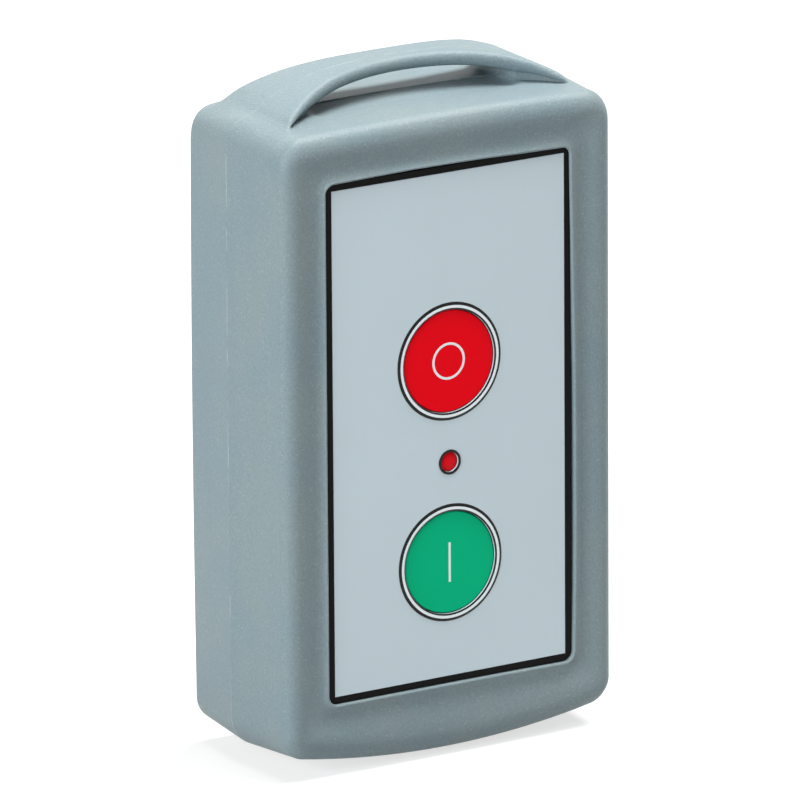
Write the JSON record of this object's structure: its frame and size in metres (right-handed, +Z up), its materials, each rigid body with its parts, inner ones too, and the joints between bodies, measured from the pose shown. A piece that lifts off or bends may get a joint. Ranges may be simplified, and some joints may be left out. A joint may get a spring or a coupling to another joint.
{
  "type": "crane radio remote control",
  "caption": "Hand-held radio remote control with red stop and green start push buttons and a status light, in a soft grey rubber boot with a carrying strap.",
  "frame": {"origin": "lowest point of the boot's arched bottom, in the middle of its width and depth", "axes": "+X to the right as the label is read, +Y from the label to the back, +Z up towards the strap"},
  "size_m": [0.0572, 0.0262, 0.1015],
  "materials": {
    "grey_rubber": "matte moulded silicone rubber, fine grain",
    "black_case": "fine textured ABS",
    "black_seal": "plain",
    "steel": "zinc plated",
    "label_film": "fine matt polyester film",
    "rim_black": "satin print",
    "print_white": "satin print",
    "led_red": "tinted epoxy",
    "stop_red": "satin",
    "start_green": "satin",
    "switch_black": "moulded",
    "board_green": "solder resist",
    "chip_black": "moulded epoxy",
    "can_steel": "satin can",
    "spring_steel": "nickel plated",
    "trace_gold": "gold flash",
    "contact_gold": "nickel and gold plate",
    "capacitor_can": "bare can",
    "cell_jacket": "printed jacket"
  },
  "bodies": {
    "case": {"rubber_boot": "grey_rubber", "front_shell": "black_case", "rear_shell": "black_case", "case_seal": "black_seal", "case_screws": "steel", "overlay_film": "label_film", "stop_ring": "rim_black", "start_ring": "rim_black", "stop_ring_line": "print_white", "start_ring_line": "print_white", "led_ring": "rim_black", "status_led": "led_red", "circuit_board": "board_green", "board_screws": "steel", "stop_switch": "switch_black", "start_switch": "switch_black", "switch_domes": "spring_steel", "microcontroller": "chip_black", "radio_module": "can_steel", "loop_antenna": "trace_gold", "crystal": "can_steel", "capacitors": "capacitor_can", "resistors": "chip_black", "battery_holder": "black_case", "left_cell": "cell_jacket", "right_cell": "cell_jacket", "battery_springs": "spring_steel", "battery_contacts": "contact_gold"},
    "stop_key": {"stop_button": "stop_red", "stop_symbol": "print_white", "stop_plunger": "switch_black"},
    "start_key": {"start_button": "start_green", "start_symbol": "print_white", "start_plunger": "switch_black"}
  },
  "joints": [
    {"name": "stop_press", "type": "slide", "parent": "case", "child": "stop_key", "axis": [0, 1, 0], "range_m": [0, 0.0003], "stiffness_N_per_m": 800, "springref_m": -0.002},
    {"name": "start_press", "type": "slide", "parent": "case", "child": "start_key", "axis": [0, 1, 0], "range_m": [0, 0.0003], "stiffness_N_per_m": 800, "springref_m": -0.002}
  ]
}
